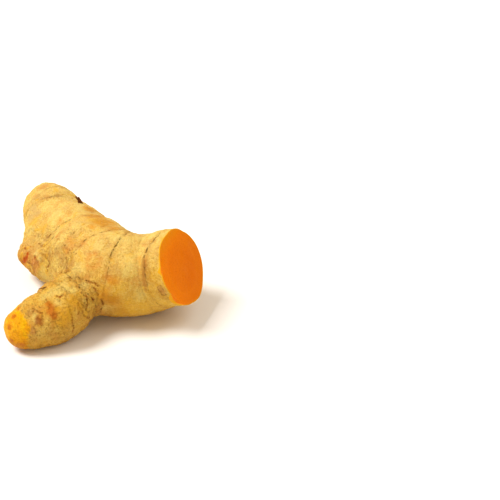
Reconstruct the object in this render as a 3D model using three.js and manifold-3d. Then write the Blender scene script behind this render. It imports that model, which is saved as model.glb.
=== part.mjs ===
// Turmeric rhizome piece, as dug and snapped from the clump, lying on a table.
//
// One grown solid: a thick trunk that bends back into a long blunt lobe, a short finger that
// comes forward from the fork, a bud knob between the two, small dormant buds on the far side,
// and one clean oblique knife cut across the right-hand end of the trunk.
//
// Frame: millimetres, +Z up, the table is z = 0. The origin is the centre of the bounding box
// on the table. +X runs along the trunk towards the cut, +Y runs back along the lobe.
//
// Geometry: every limb is a THREE.CatmullRomCurve3 centre line with a radius along it. The limbs
// are blended as one distance field, the skin is meshed from that field as a closed
// BufferGeometry, and the knife cut is a BoxGeometry subtracted from the solid.

import * as THREE from "three";
import Module from "manifold-3d";

// ---------------------------------------------------------------- driving dimensions (mm)
const CELL = 1.75; // mesh cell of the skin
const TRUNK = [ // x, y, z, radius: from beyond the cut, through the fork, to the lobe's tip
  [26.57, -16.65, 20.55, 10.35],
  [23.14, -15.88, 18.93, 10.33],
  [21.35, -14.76, 17.72, 10.72],
  [15.7, -13.63, 15.75, 11.1],
  [10.19, -10.17, 11.7, 11.2],
  [4.12, -11.56, 12.25, 12.25],
  [-0.05, -10.84, 12.85, 12.55],
  [-6.01, -3.38, 12.19, 11.94],
  [-11.49, 7.13, 10.46, 10.56],
  [-18.76, 18.6, 9.36, 9.56],
  [-22.39, 27.66, 9.08, 8.38],
];
const FINGER = [
  [-24.94, -29.11, 5.99, 5.79],
  [-20.79, -26.93, 6.91, 7.11],
  [-16.26, -25.36, 7.59, 7.69],
  [-12.74, -21.24, 9.24, 7.84],
  [-8.34, -17.16, 10.67, 7.37],
  [-2.75, -13.31, 12.31, 7.21],
];
const BUD = [ // the knob between lobe and finger
  [-24.98, 4.47, 8.33, 4.7],
  [-20.84, 0.91, 8.46, 5.99],
  [-15.2, -1.45, 9.34, 7.34],
  [-9.27, -6.27, 11.53, 8.89],
];
const SWELLINGS = [ // single round swellings: x, y, z, radius, blend
  [-22.84, 12.32, 7.92, 6.02, 5.0], // shoulder of the lobe above the bud knob
  [-3.6, 14.0, 8.2, 3.6, 4.4], // dormant bud on the lobe's far side
  [12.2, 0.0, 8.6, 3.1, 4.2], // dormant bud on the trunk's far side
  [-21.4, 33.4, 8.4, 2.8, 2.4], // sleeping end bud of the lobe
];
const BLEND_BUD = 5.0; // radius of the fillet where the bud knob leaves the trunk
const BLEND_FINGER = 2.6; // tighter crease where the finger leaves it
const CUT_CENTRE = [20.12, -14.78, 17.3];
const CUT_NORMAL = [0.846, -0.312, 0.432];
const RINGS_TRUNK = [0.02, 0.295, 0.575, 0.64, 0.775, 0.9, 0.985]; // node rings, share of centre line
const RINGS_FINGER = [0.02, 0.36, 0.68, 0.99];
const RING_SWELL = 0.36; // how far the flesh between two rings stands out
const LUMPS = [ // slow unevenness: wave vector (rad/mm), phase, height
  [0.31, 0.22, 0.4, 0.7, 0.13],
  [-0.27, 0.41, 0.17, 2.1, 0.13],
  [0.12, -0.36, 0.49, 4.0, 0.12],
  [0.52, 0.15, -0.28, 1.3, 0.1],
  [-0.44, -0.39, 0.3, 5.2, 0.09],
  [0.2, 0.61, -0.45, 3.1, 0.07],
];
const SHIFT = [2.36, -0.65, 0]; // from the dimensions above to the centre of the bounding box
const STEPS = 6; // straight stretches per control point in the distance field

// ---------------------------------------------------------------- the distance field
// A limb as a THREE curve plus its radius, sampled into short stretches.
function limb(rows) {
  const curve = new THREE.CatmullRomCurve3(
    rows.map((r) => new THREE.Vector3(r[0], r[1], r[2])),
    false,
    "catmullrom",
    0.5,
  );
  const girth = new THREE.CatmullRomCurve3(
    rows.map((r) => new THREE.Vector3(r[3], 0, 0)),
    false,
    "catmullrom",
    0.5,
  );
  const n = (rows.length - 1) * STEPS;
  const at = [];
  for (let i = 0; i <= n; i++) at.push([...curve.getPoint(i / n), girth.getPoint(i / n).x]);
  return { at };
}

// Distance to a limb's skin, swollen between its node rings.
function limbDistance(l, rings, x, y, z) {
  const at = l.at;
  let best = 1e9,
    where = 0;
  for (let i = 0; i + 1 < at.length; i++) {
    const a = at[i],
      b = at[i + 1];
    const ux = b[0] - a[0],
      uy = b[1] - a[1],
      uz = b[2] - a[2];
    const px = x - a[0],
      py = y - a[1],
      pz = z - a[2];
    let h = (px * ux + py * uy + pz * uz) / (ux * ux + uy * uy + uz * uz);
    h = Math.min(1, Math.max(0, h));
    const d = Math.hypot(px - h * ux, py - h * uy, pz - h * uz) - (a[3] + h * (b[3] - a[3]));
    if (d < best) {
      best = d;
      where = (i + h) / (at.length - 1);
    }
  }
  return best - RING_SWELL * betweenRings(rings, where);
}

// 0 on a ring and past the end rings, 1 halfway between two rings.
function betweenRings(rings, t) {
  for (let i = 0; i + 1 < rings.length; i++)
    if (t >= rings[i] && t < rings[i + 1]) {
      const w = (t - rings[i]) / (rings[i + 1] - rings[i]);
      return 4 * w * (1 - w);
    }
  return 0;
}

// Smooth minimum: a fillet of size k where two distances meet.
function blend(a, b, k) {
  const h = Math.max(k - Math.abs(a - b), 0) / k;
  return Math.min(a, b) - h * h * k * 0.25;
}

const trunk = limb(TRUNK),
  finger = limb(FINGER),
  bud = limb(BUD);

function field(x, y, z) {
  let lump = 0;
  for (const w of LUMPS) lump += w[4] * Math.sin(w[0] * x + w[1] * y + w[2] * z + w[3]);
  let d = limbDistance(trunk, RINGS_TRUNK, x, y, z);
  d = blend(d, limbDistance(bud, [], x, y, z), BLEND_BUD);
  for (const s of SWELLINGS)
    d = blend(d, Math.hypot(x - s[0], y - s[1], z - s[2]) - s[3], s[4]);
  return blend(d, limbDistance(finger, RINGS_FINGER, x, y, z), BLEND_FINGER) - lump;
}

function slope(x, y, z) {
  const e = 0.02;
  const g = new THREE.Vector3(
    field(x + e, y, z) - field(x - e, y, z),
    field(x, y + e, z) - field(x, y - e, z),
    field(x, y, z + e) - field(x, y, z - e),
  );
  return g.multiplyScalar(1 / (2 * e));
}

// ---------------------------------------------------------------- the skin as one closed mesh
// One vertex in each cell that the surface crosses, joined across every crossed edge.
function skin() {
  const box = new THREE.Box3();
  for (const rows of [TRUNK, FINGER, BUD])
    for (const r of rows)
      box.union(
        new THREE.Box3().setFromCenterAndSize(
          new THREE.Vector3(r[0], r[1], r[2]),
          new THREE.Vector3(1, 1, 1).multiplyScalar(2 * (r[3] + 2.2)),
        ),
      );
  const size = box.getSize(new THREE.Vector3());
  const n = [size.x, size.y, size.z].map((s) => Math.ceil(s / CELL) + 2);
  const at = (i, j, k) => (k * n[1] + j) * n[0] + i;
  const value = new Float64Array(n[0] * n[1] * n[2]);
  for (let k = 0; k < n[2]; k++)
    for (let j = 0; j < n[1]; j++)
      for (let i = 0; i < n[0]; i++)
        value[at(i, j, k)] = field(
          box.min.x + i * CELL,
          box.min.y + j * CELL,
          box.min.z + k * CELL,
        );
  const cell = new Int32Array(value.length).fill(-1);
  const points = [];
  const corners = [];
  for (let c = 0; c < 8; c++) corners.push([c & 1, (c >> 1) & 1, (c >> 2) & 1]);
  for (let k = 0; k + 1 < n[2]; k++)
    for (let j = 0; j + 1 < n[1]; j++)
      for (let i = 0; i + 1 < n[0]; i++) {
        const sum = [0, 0, 0];
        let crossings = 0;
        for (let a = 0; a < 8; a++)
          for (const bit of [1, 2, 4]) {
            const b = a | bit;
            if (b === a) continue;
            const A = corners[a],
              B = corners[b];
            const va = value[at(i + A[0], j + A[1], k + A[2])],
              vb = value[at(i + B[0], j + B[1], k + B[2])];
            if (va < 0 === vb < 0) continue;
            const t = va / (va - vb);
            for (let q = 0; q < 3; q++) sum[q] += A[q] + t * (B[q] - A[q]);
            crossings++;
          }
        if (!crossings) continue;
        cell[at(i, j, k)] = points.length;
        points.push(
          new THREE.Vector3(
            box.min.x + (i + sum[0] / crossings) * CELL,
            box.min.y + (j + sum[1] / crossings) * CELL,
            box.min.z + (k + sum[2] / crossings) * CELL,
          ),
        );
      }
  const quads = [];
  for (let k = 1; k + 1 < n[2]; k++)
    for (let j = 1; j + 1 < n[1]; j++)
      for (let i = 1; i + 1 < n[0]; i++) {
        const v = value[at(i, j, k)] < 0;
        for (let q = 0; q < 3; q++) {
          const o = [
            [1, 0, 0],
            [0, 1, 0],
            [0, 0, 1],
          ];
          const w = value[at(i + o[q][0], j + o[q][1], k + o[q][2])] < 0;
          if (v === w) continue;
          const u1 = o[(q + 1) % 3],
            u2 = o[(q + 2) % 3];
          const ring = [
            cell[at(i, j, k)],
            cell[at(i - u1[0], j - u1[1], k - u1[2])],
            cell[at(i - u1[0] - u2[0], j - u1[1] - u2[1], k - u1[2] - u2[2])],
            cell[at(i - u2[0], j - u2[1], k - u2[2])],
          ];
          quads.push(v ? ring : ring.reverse());
        }
      }
  // Even the cells out along the surface, and bring each vertex back onto it.
  const near = points.map(() => new Set());
  for (const r of quads)
    for (let q = 0; q < 4; q++) {
      near[r[q]].add(r[(q + 1) % 4]);
      near[r[(q + 1) % 4]].add(r[q]);
    }
  const settle = (p, rounds) => {
    for (let t = 0; t < rounds; t++) {
      const g = slope(p.x, p.y, p.z);
      p.addScaledVector(g, -field(p.x, p.y, p.z) / Math.max(g.lengthSq(), 0.2));
    }
  };
  for (let round = 0; round < 6; round++) {
    const moved = points.map((p, i) => {
      const m = new THREE.Vector3();
      for (const o of near[i]) m.add(points[o]);
      return m.multiplyScalar(1 / near[i].size).lerp(p, 0.4);
    });
    moved.forEach((m, i) => {
      settle(m, 2);
      points[i].copy(m);
    });
  }
  points.forEach((p) => settle(p, 2));
  // The skin gives a little where it lies on the table.
  for (const p of points) if (p.z < 0) p.z = 0;
  const index = [];
  for (const [a, b, c, d] of quads) {
    if (points[a].distanceToSquared(points[c]) <= points[b].distanceToSquared(points[d]))
      index.push(a, b, c, a, c, d);
    else index.push(a, b, d, b, c, d);
  }
  return { points, index };
}

// ---------------------------------------------------------------- the knife cut
const wasm = await Module();
wasm.setup();

function solid(geometry) {
  return new wasm.Manifold(
    new wasm.Mesh({
      numProp: 3,
      vertProperties: new Float32Array(geometry.getAttribute("position").array),
      triVerts: new Uint32Array(geometry.index.array),
    }),
  );
}

const { points, index } = skin();
const cutCentre = new THREE.Vector3(...CUT_CENTRE),
  cutNormal = new THREE.Vector3(...CUT_NORMAL).normalize();
// No vertex stays so close to the blade's plane that the cut would leave a sliver.
for (const p of points) {
  const f = p.clone().sub(cutCentre).dot(cutNormal);
  if (Math.abs(f) < 0.35) p.addScaledVector(cutNormal, -f + Math.sign(f || 1) * 1e-4);
}
const whole = new THREE.BufferGeometry();
whole.setAttribute(
  "position",
  new THREE.Float32BufferAttribute(
    points.flatMap((p) => [p.x, p.y, p.z]),
    3,
  ),
);
whole.setIndex(index);

// A box has separate corners for each face, so its eight corners are merged by position.
function merged(geometry) {
  const p = geometry.getAttribute("position"),
    map = new Map(),
    out = [],
    idx = [];
  for (let i = 0; i < geometry.index.count; i++) {
    const v = geometry.index.getX(i);
    const key = [p.getX(v), p.getY(v), p.getZ(v)].map((a) => a.toFixed(4)).join();
    if (!map.has(key)) {
      map.set(key, out.length / 3);
      out.push(p.getX(v), p.getY(v), p.getZ(v));
    }
    idx.push(map.get(key));
  }
  const g = new THREE.BufferGeometry();
  g.setAttribute("position", new THREE.Float32BufferAttribute(out, 3));
  g.setIndex(idx);
  return g;
}
const blade = merged(new THREE.BoxGeometry(60, 60, 30));
blade.applyQuaternion(
  new THREE.Quaternion().setFromUnitVectors(new THREE.Vector3(0, 0, 1), cutNormal),
);
blade.translate(...cutCentre.clone().addScaledVector(cutNormal, 15).toArray());

const cut = solid(whole).subtract(solid(blade)).getMesh();
const shape = new THREE.BufferGeometry();
shape.setAttribute("position", new THREE.BufferAttribute(new Float32Array(cut.vertProperties), 3));
shape.setIndex(new THREE.BufferAttribute(new Uint32Array(cut.triVerts), 1));
shape.translate(...SHIFT);
shape.computeVertexNormals();

const rhizome = new THREE.Mesh(
  shape,
  new THREE.MeshStandardMaterial({ color: 0xe0b25c, roughness: 0.62, metalness: 0 }),
);
rhizome.name = "turmeric_rhizome";

const part = new THREE.Group();
part.add(rhizome);
export default part;
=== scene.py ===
import math

import bmesh
import bpy
import numpy as np
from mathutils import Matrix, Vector


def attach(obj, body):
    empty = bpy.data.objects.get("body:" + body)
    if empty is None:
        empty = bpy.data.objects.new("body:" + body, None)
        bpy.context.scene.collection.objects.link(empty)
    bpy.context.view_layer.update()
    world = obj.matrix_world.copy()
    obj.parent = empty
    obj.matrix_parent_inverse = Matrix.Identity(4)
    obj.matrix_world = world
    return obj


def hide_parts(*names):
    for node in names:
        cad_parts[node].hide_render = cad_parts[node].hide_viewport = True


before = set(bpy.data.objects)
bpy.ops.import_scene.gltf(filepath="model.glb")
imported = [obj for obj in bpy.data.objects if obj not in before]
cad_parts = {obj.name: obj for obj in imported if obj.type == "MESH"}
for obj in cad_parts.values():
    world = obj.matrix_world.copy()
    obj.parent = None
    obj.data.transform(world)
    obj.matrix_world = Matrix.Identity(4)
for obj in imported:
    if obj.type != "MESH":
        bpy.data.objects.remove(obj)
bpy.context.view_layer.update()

# ------------------------------------------------------------------ the shape, in mm
# The same limbs as the CAD part: x, y, z, radius along each centre line.
TRUNK = [
    [26.57, -16.65, 20.55, 10.35],
    [23.14, -15.88, 18.93, 10.33],
    [21.35, -14.76, 17.72, 10.72],
    [15.7, -13.63, 15.75, 11.1],
    [10.19, -10.17, 11.7, 11.2],
    [4.12, -11.56, 12.25, 12.25],
    [-0.05, -10.84, 12.85, 12.55],
    [-6.01, -3.38, 12.19, 11.94],
    [-11.49, 7.13, 10.46, 10.56],
    [-18.76, 18.6, 9.36, 9.56],
    [-22.39, 27.66, 9.08, 8.38],
]
FINGER = [
    [-24.94, -29.11, 5.99, 5.79],
    [-20.79, -26.93, 6.91, 7.11],
    [-16.26, -25.36, 7.59, 7.69],
    [-12.74, -21.24, 9.24, 7.84],
    [-8.34, -17.16, 10.67, 7.37],
    [-2.75, -13.31, 12.31, 7.21],
]
BUD = [
    [-24.98, 4.47, 8.33, 4.7],
    [-20.84, 0.91, 8.46, 5.99],
    [-15.2, -1.45, 9.34, 7.34],
    [-9.27, -6.27, 11.53, 8.89],
]
SWELLINGS = [
    [-22.84, 12.32, 7.92, 6.02, 5.0],
    [-3.6, 14.0, 8.2, 3.6, 4.4],
    [12.2, 0.0, 8.6, 3.1, 4.2],
    [-21.4, 33.4, 8.4, 2.8, 2.4],
]
BLEND_BUD, BLEND_FINGER = 5.0, 2.6
CUT_CENTRE = np.array([20.12, -14.78, 17.3])
CUT_NORMAL = np.array([0.846, -0.312, 0.432])
CUT_NORMAL /= np.linalg.norm(CUT_NORMAL)
RINGS_TRUNK = [0.02, 0.295, 0.575, 0.64, 0.775, 0.9, 0.985]
RINGS_FINGER = [0.02, 0.36, 0.68, 0.99]
RING_SWELL = 0.36
LUMPS = [
    [0.31, 0.22, 0.4, 0.7, 0.13],
    [-0.27, 0.41, 0.17, 2.1, 0.13],
    [0.12, -0.36, 0.49, 4.0, 0.12],
    [0.52, 0.15, -0.28, 1.3, 0.1],
    [-0.44, -0.39, 0.3, 5.2, 0.09],
    [0.2, 0.61, -0.45, 3.1, 0.07],
]
SHIFT = np.array([2.36, -0.65, 0.0])
STEPS = 6
CELL = 0.72


def catmull(rows, n):
    P = np.asarray(rows, float)
    count = len(P)
    out = []
    for i in range(n + 1):
        p = (count - 1) * i / n
        k = int(math.floor(p))
        w = p - k
        if k >= count - 1:
            k, w = count - 2, 1.0
        p0 = P[k - 1] if k > 0 else 2 * P[0] - P[1]
        p1, p2 = P[k], P[k + 1]
        p3 = P[k + 2] if k + 2 < count else 2 * P[-1] - P[-2]
        t0, t1 = 0.5 * (p2 - p0), 0.5 * (p3 - p1)
        out.append(
            p1
            + t0 * w
            + (-3 * p1 + 3 * p2 - 2 * t0 - t1) * w * w
            + (2 * p1 - 2 * p2 + t0 + t1) * w**3
        )
    return np.array(out)


class Limb:
    def __init__(self, rows):
        self.at = catmull(rows, (len(rows) - 1) * STEPS)
        c = self.at[:, :3]
        self.arc = np.concatenate([[0], np.cumsum(np.linalg.norm(np.diff(c, axis=0), axis=1))])
        tan = np.gradient(c, axis=0)
        tan /= np.linalg.norm(tan, axis=1, keepdims=True)
        n = np.cross(tan[0], [0.0, 0.0, 1.0])
        n /= np.linalg.norm(n)
        ns = []
        for t in tan:
            n = n - t * (n @ t)
            n /= np.linalg.norm(n)
            ns.append(n)
        self.tan, self.n = tan, np.array(ns)
        self.b = np.cross(tan, self.n)

    def distance(self, p):
        """Distance to the limb's skin, and where along its line, from 0 to 1."""
        at = self.at
        best = np.full(len(p), 1e9)
        where = np.zeros(len(p))
        last = len(at) - 1
        for i in range(last):
            a, b = at[i], at[i + 1]
            u = b[:3] - a[:3]
            q = p - a[:3]
            h = np.clip((q @ u) / (u @ u), 0, 1)
            q = q - h[:, None] * u
            d = np.sqrt((q * q).sum(1)) - (a[3] + h * (b[3] - a[3]))
            m = d < best
            best = np.where(m, d, best)
            where = np.where(m, (i + h) / last, where)
        return best, where

    def straight(self, p, where):
        """The point as (along the limb, sideways, sideways), as if the limb were straight."""
        x = where * (len(self.at) - 1)
        i = np.clip(x.astype(int), 0, len(self.at) - 2)
        w = (x - i)[:, None]

        def mix(a):
            return a[i] * (1 - w) + a[i + 1] * w

        rel = p - mix(self.at[:, :3])
        t, n, b = mix(self.tan), mix(self.n), mix(self.b)
        s = mix(self.arc[:, None])[:, 0] + (rel * t).sum(1)
        return np.stack([s, (rel * n).sum(1), (rel * b).sum(1)], 1)


def between(rings, t):
    out = np.zeros(len(t))
    for a, b in zip(rings, rings[1:]):
        m = (t >= a) & (t < b)
        w = (t - a) / (b - a)
        out = np.where(m, 4 * w * (1 - w), out)
    return out


def blend(a, b, k):
    h = np.maximum(k - np.abs(a - b), 0) / k
    return np.minimum(a, b) - h * h * k * 0.25


trunk, finger, bud = Limb(TRUNK), Limb(FINGER), Limb(BUD)


def field(p, parts=False):
    lump = np.zeros(len(p))
    for w in LUMPS:
        lump += w[4] * np.sin(p @ np.array(w[:3]) + w[3])
    a, ta = trunk.distance(p)
    a = a - RING_SWELL * between(RINGS_TRUNK, ta)
    b, tb = bud.distance(p)
    c, tc = finger.distance(p)
    c = c - RING_SWELL * between(RINGS_FINGER, tc)
    d = blend(a, b, BLEND_BUD)
    for s in SWELLINGS:
        d = blend(d, np.linalg.norm(p - np.array(s[:3]), axis=1) - s[3], s[4])
    e = blend(d, c, BLEND_FINGER) - lump
    return (e, a, ta, b, tb, c, tc, d) if parts else e


def slope(p, e=0.04):
    g = np.zeros_like(p)
    for k in ([1, -1, -1], [-1, -1, 1], [-1, 1, -1], [1, 1, 1]):
        k = np.array(k, float)
        g += k * field(p + e * k)[:, None]
    return g / (4 * e)


def settle(p, rounds):
    for _ in range(rounds):
        g = slope(p)
        p = p - g * (field(p) / np.maximum((g * g).sum(1), 0.2))[:, None]
    return p


# ------------------------------------------------------------------ seeded noise
def hashed(i, j, k, seed):
    h = (
        i.astype(np.int64) * 374761393
        + j.astype(np.int64) * 668265263
        + k.astype(np.int64) * 2147483647
        + seed * 1274126177
    ) & 0xFFFFFFFF
    h = ((h ^ (h >> 13)) * 1274126177) & 0xFFFFFFFF
    h = ((h ^ (h >> 16)) * 2246822519) & 0xFFFFFFFF
    h = h ^ (h >> 15)
    return (h & 0xFFFFFF) / float(0xFFFFFF)


def noise(p, seed=0):
    """Smooth noise from -1 to 1 with features about one unit wide."""
    f = np.floor(p)
    w = p - f
    w = w * w * w * (w * (w * 6 - 15) + 10)
    i, j, k = f[:, 0], f[:, 1], f[:, 2]
    out = 0
    for a in (0, 1):
        for b in (0, 1):
            for c in (0, 1):
                wa = w[:, 0] if a else 1 - w[:, 0]
                wb = w[:, 1] if b else 1 - w[:, 1]
                wc = w[:, 2] if c else 1 - w[:, 2]
                out = out + wa * wb * wc * hashed(i + a, j + b, k + c, seed)
    return 2 * out - 1


def fbm(p, octaves=3, seed=0, gain=0.5):
    out, amp, total = 0, 1.0, 0.0
    for o in range(octaves):
        out = out + amp * noise(p * 2.03**o + 17.3 * o, seed + o)
        total += amp
        amp *= gain
    return out / total


def smooth(lo, hi, x):
    t = np.clip((x - lo) / (hi - lo), 0, 1)
    return t * t * (3 - 2 * t)


# ------------------------------------------------------------------ the skin's mesh
def nets():
    lo = np.array([-36.0, -39.0, -2.5])
    hi = np.array([30.5, 40.0, 30.5])
    n = np.ceil((hi - lo) / CELL).astype(int) + 1
    ax = [lo[q] + CELL * np.arange(n[q]) for q in range(3)]
    G = np.stack(np.meshgrid(*ax, indexing="ij"), -1).reshape(-1, 3)
    V = field(G)
    V = np.maximum(V, (G - CUT_CENTRE) @ CUT_NORMAL - 3.0).reshape(n)
    cells = n - 1
    total = np.zeros((*cells, 3))
    count = np.zeros(cells)
    inside = V < 0
    for a in range(3):
        others = [q for q in range(3) if q != a]
        for o1 in (0, 1):
            for o2 in (0, 1):
                off = [0, 0, 0]
                off[others[0]], off[others[1]] = o1, o2
                sa = tuple(slice(off[q], off[q] + cells[q]) for q in range(3))
                off2 = list(off)
                off2[a] = 1
                sb = tuple(slice(off2[q], off2[q] + cells[q]) for q in range(3))
                A, B = V[sa], V[sb]
                cross = inside[sa] != inside[sb]
                t = np.where(cross, A / np.where(cross, A - B, 1), 0)
                total[..., a] += t
                total[..., others[0]] += o1 * cross
                total[..., others[1]] += o2 * cross
                count += cross
    has = count > 0
    index = -np.ones(cells, int)
    index[has] = np.arange(has.sum())
    where = np.argwhere(has)
    P = lo + (where + total[has] / count[has][:, None]) * CELL
    quads = []
    for a in range(3):
        u1, u2 = (a + 1) % 3, (a + 2) % 3
        e = np.zeros(3, int)
        e[a] = 1
        sa = [slice(1, cells[q]) for q in range(3)]
        sb = [slice(1 + e[q], cells[q] + e[q]) for q in range(3)]
        A, B = inside[tuple(sa)], inside[tuple(sb)]
        at = np.argwhere(A != B) + 1
        out = A[A != B]
        d1, d2 = np.zeros(3, int), np.zeros(3, int)
        d1[u1], d2[u2] = 1, 1
        c = [at, at - d1, at - d1 - d2, at - d2]
        q = np.stack([index[tuple(x.T)] for x in c], 1)
        q[~out] = q[~out][:, ::-1]
        quads.append(q)
    return P, np.concatenate(quads)


def relax(P, Q, rounds):
    e = np.concatenate([Q[:, [0, 1]], Q[:, [1, 2]], Q[:, [2, 3]], Q[:, [3, 0]]])
    deg = np.bincount(e.ravel(), minlength=len(P)).astype(float)
    for _ in range(rounds):
        s = np.zeros_like(P)
        for q in range(3):
            s[:, q] = np.bincount(e[:, 0], P[e[:, 1], q], len(P)) + np.bincount(
                e[:, 1], P[e[:, 0], q], len(P)
            )
        P = settle(0.4 * P + 0.6 * s / deg[:, None], 1)
    return P


def split(P, Q):
    """Each quad into four."""
    e = np.sort(np.concatenate([Q[:, [0, 1]], Q[:, [1, 2]], Q[:, [2, 3]], Q[:, [3, 0]]]), 1)
    ue, inv = np.unique(e, axis=0, return_inverse=True)
    inv = inv.reshape(4, -1)
    mid = P[ue].mean(1)
    cen = P[Q].mean(1)
    o1 = len(P)
    o2 = o1 + len(mid)
    f = np.arange(len(Q)) + o2
    m = inv + o1
    new = [np.stack([Q[:, k], m[k], f, m[(k - 1) % 4]], 1) for k in range(4)]
    return np.concatenate([P, mid, cen]), np.concatenate(new)


P, Q = nets()
P = relax(P, Q, 3)
P, Q = split(P, Q)
P = settle(P, 2)

# The knife cut: vertices next to the blade's plane go onto it, and what lies past it goes away.
far = (P - CUT_CENTRE) @ CUT_NORMAL
close = np.abs(far) < 0.13
P[close] -= far[close, None] * CUT_NORMAL
bm = bmesh.new()
made = bpy.data.meshes.new("cutting")
made.from_pydata(P.tolist(), [], Q.tolist())
bm.from_mesh(made)
bmesh.ops.bisect_plane(
    bm,
    geom=bm.verts[:] + bm.edges[:] + bm.faces[:],
    dist=1e-5,
    plane_co=Vector(CUT_CENTRE),
    plane_no=Vector(CUT_NORMAL),
    clear_outer=True,
)
loose = [v for v in bm.verts if not v.link_faces]
if loose:
    bmesh.ops.delete(bm, geom=loose, context="VERTS")
at_cut = [v for v in bm.verts if any(len(e.link_faces) == 1 for e in v.link_edges)]
bmesh.ops.remove_doubles(bm, verts=at_cut, dist=0.12)
bm.verts.index_update()
P = np.array([v.co[:] for v in bm.verts])
faces = [[v.index for v in f.verts] for f in bm.faces]
rim_next = {}
for e in bm.edges:
    if len(e.link_faces) == 1:
        loop = e.link_loops[0]
        rim_next[loop.link_loop_next.vert.index] = loop.vert.index
bm.free()
bpy.data.meshes.remove(made)
rim = [next(iter(rim_next))]
while len(rim) < len(rim_next):
    rim.append(rim_next[rim[-1]])
on_rim = np.zeros(len(P), bool)
on_rim[rim] = True

# ------------------------------------------------------------------ what grows where on the skin
d, a, ta, b, tb, c, tc, dd = field(P, parts=True)
N = slope(P)
N /= np.linalg.norm(N, axis=1, keepdims=True)
A3, F3, B3 = trunk.straight(P, ta), finger.straight(P, tc), bud.straight(P, tb)
on_finger = smooth(-0.8, 0.8, dd - c)
on_bud = smooth(-1.5, 2.5, a - b) * (1 - on_finger)
crease_f = np.maximum(0, 1 - np.abs(dd - c) / 3.4)
crease_b = np.maximum(0, 1 - np.abs(a - b) / 5.0) * (1 - on_finger)
cut_far = -((P - CUT_CENTRE) @ CUT_NORMAL)

def spots(points, reach):
    """0 at the middle of the nearest of these places on the skin, 1 at its edge."""
    best = np.full(len(P), 9.0)
    for x, y, z, r in points:
        best = np.minimum(best, np.linalg.norm(P - np.array([x, y, z]), axis=1) / (r * reach))
    return best


def on_skin(x, y, z):
    return settle(np.array([[x, y, z]], float), 12)[0]


def photo_points(places):
    """Where pixels of the photographed frame meet the skin, in mm."""
    e = math.radians(35)
    f = np.array([0, math.cos(e), -math.sin(e)])
    u = np.array([0, math.sin(e), math.cos(e)])
    xy = np.array(places, float)
    ray = f + ((xy[:, :1] - 250) * np.array([[1.0, 0, 0]]) + (250 - xy[:, 1:]) * u) / 500 * 155 / 560
    ray /= np.linalg.norm(ray, axis=1, keepdims=True)
    o = np.array([39.8, -440.225, 321.203])
    t = np.full(len(xy), 500.0)
    for _ in range(60):
        t += 0.95 * field(o + t[:, None] * ray)
    return o + t[:, None] * ray


def seen(*places):
    """Round spots at photographed pixels, each with a radius in mm."""
    pts = photo_points([q[:2] for q in places])
    return [[*pt, q[2]] for pt, q in zip(pts, places)]


# Node rings: millimetres along the limb to the nearest one, positive towards the growing tip.
def arc_at(limb, t):
    return float(np.interp(t * (len(limb.at) - 1), np.arange(len(limb.at)), limb.arc))


def ring_distance(s, places, wob):
    best = np.full(len(s), 99.0)
    who = np.zeros(len(s), int)
    for n, x in enumerate(places):
        q = s - x + wob
        m = np.abs(q) < np.abs(best)
        best = np.where(m, q, best)
        who = np.where(m, n, who)
    return best, who


# Each is followed through the places where it is seen, and carries on round as a tilted plane.
RINGS_SEEN = [
    (0.80, [(158.4, 235.2, 0.8), (151.3, 241.4, 1.0), (148, 249.8, 0.9), (145.2, 257, 0.8), (144.6, 264.7, 0.6), (146, 273, 0.4), (146.8, 282.3, 0.3), (148.2, 292.6, 0.4)]),
    (0.70, [(129, 233.4, 1.0), (121.7, 238.3, 0.9), (114.4, 247, 0.9), (108.5, 256, 0.8), (110, 264, 0.3), (108, 277, 0.12), (104, 290, 0.1)]),
    (0.55, [(111.4, 233, 0.5), (102.6, 231, 0.8), (93.8, 233.2, 0.9), (86.5, 238.3, 0.8), (79, 248, 0.25), (69, 256, 0.4), (66.7, 260.3, 0.6), (65.5, 267.6, 0.6)]),
    (0.60, [(85, 217, 0.4), (76.2, 216.3, 0.5), (70.4, 219.3, 0.9), (63, 224.4, 1.0), (56.5, 226.6, 1.0), (54.3, 231, 0.8), (46, 240, 0.5)]),
    (0.45, [(36.7, 201.7, 0.4), (48.4, 196.5, 0.5), (63, 196.5, 0.5), (76, 200, 0.3)]),
]
wob = 0.25 * noise(P * 0.42, 6)
ra, pa, la = np.full(len(P), 99.0), np.zeros(len(P)), np.zeros(len(P))
other = np.full(len(P), 99.0)
for power, seen_at in RINGS_SEEN:
    pts = photo_points([q[:2] for q in seen_at])
    drawn = np.array([q[2] for q in seen_at])
    on = np.abs(field(pts)) < 0.3
    pts, drawn = pts[on], drawn[on]
    here = trunk.distance(pts)[1].mean()
    axis = trunk.tan[int(round(here * (len(trunk.at) - 1)))]
    mid_p = pts.mean(0)
    # the plane through them that leans least from square across the limb
    M = pts - mid_p
    fit = np.linalg.solve(M.T @ M + 25.0 * np.eye(3), 25.0 * axis)
    fit /= np.linalg.norm(fit)
    off = M @ fit
    near = np.exp(-((P[:, None, :] - pts[None]) ** 2).sum(2) / (2 * 3.0**2))
    place = (near @ off) / (near.sum(1) + 0.15)
    dark_here = (near @ drawn + 0.15 * 0.55) / (near.sum(1) + 0.15)
    q = (P - mid_p) @ fit - place + wob
    m = (np.abs(q) < np.abs(ra)) & (np.abs(A3[:, 0] - arc_at(trunk, here)) < 14)
    other = np.minimum(other, np.where(m, np.abs(ra), np.where(np.abs(A3[:, 0] - arc_at(trunk, here)) < 14, np.abs(q), 99)))
    ra, pa, la = np.where(m, q, ra), np.where(m, power, pa), np.where(m, dark_here, la)
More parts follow.
